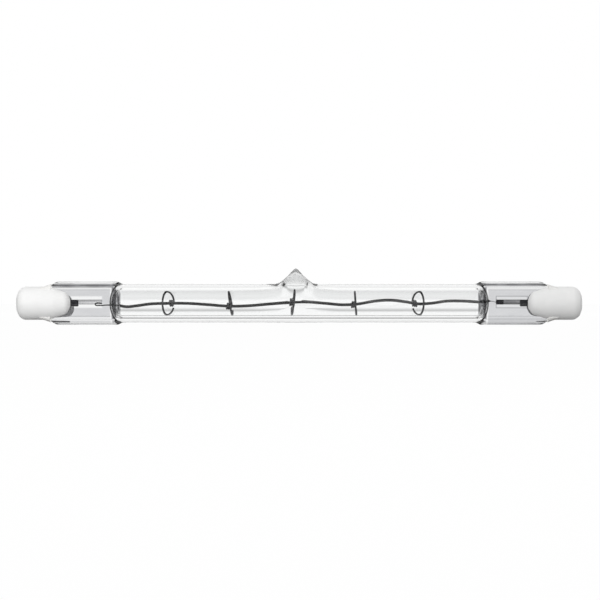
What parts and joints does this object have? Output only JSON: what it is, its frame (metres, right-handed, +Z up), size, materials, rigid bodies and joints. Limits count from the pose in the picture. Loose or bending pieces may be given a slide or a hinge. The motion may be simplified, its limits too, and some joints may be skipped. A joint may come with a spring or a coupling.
{
  "type": "linear halogen bulb",
  "caption": "Double-ended linear halogen bulb: clear quartz tube with flat press seals, coiled filament on wire supports, and white ceramic end caps with recessed contacts.",
  "frame": {"origin": "on the plane that the lamp rests on, below the middle of the lamp", "axes": "+X along the lamp towards its right end, +Z up through the exhaust tip, +Y away from the viewer"},
  "size_m": [0.1176, 0.008, 0.0118],
  "materials": {
    "quartz": "clear fire-polished fused silica",
    "tungsten": "dark drawn tungsten wire",
    "molybdenum": "grey etched molybdenum",
    "nickel": "plain nickel",
    "steatite": "matte white fired steatite",
    "cement": "rough white cement"
  },
  "bodies": {
    "root": {"quartz_envelope": "quartz", "filament_coil": "tungsten", "filament_support_1": "tungsten", "filament_support_2": "tungsten", "filament_support_3": "tungsten", "filament_support_4": "tungsten", "filament_support_5": "tungsten", "left_inner_lead": "molybdenum", "right_inner_lead": "molybdenum", "left_seal_foil": "molybdenum", "right_seal_foil": "molybdenum", "left_outer_lead": "molybdenum", "right_outer_lead": "molybdenum", "left_contact": "nickel", "right_contact": "nickel", "left_end_cap": "steatite", "right_end_cap": "steatite", "left_cap_cement": "cement", "right_cap_cement": "cement"}
  },
  "joints": []
}
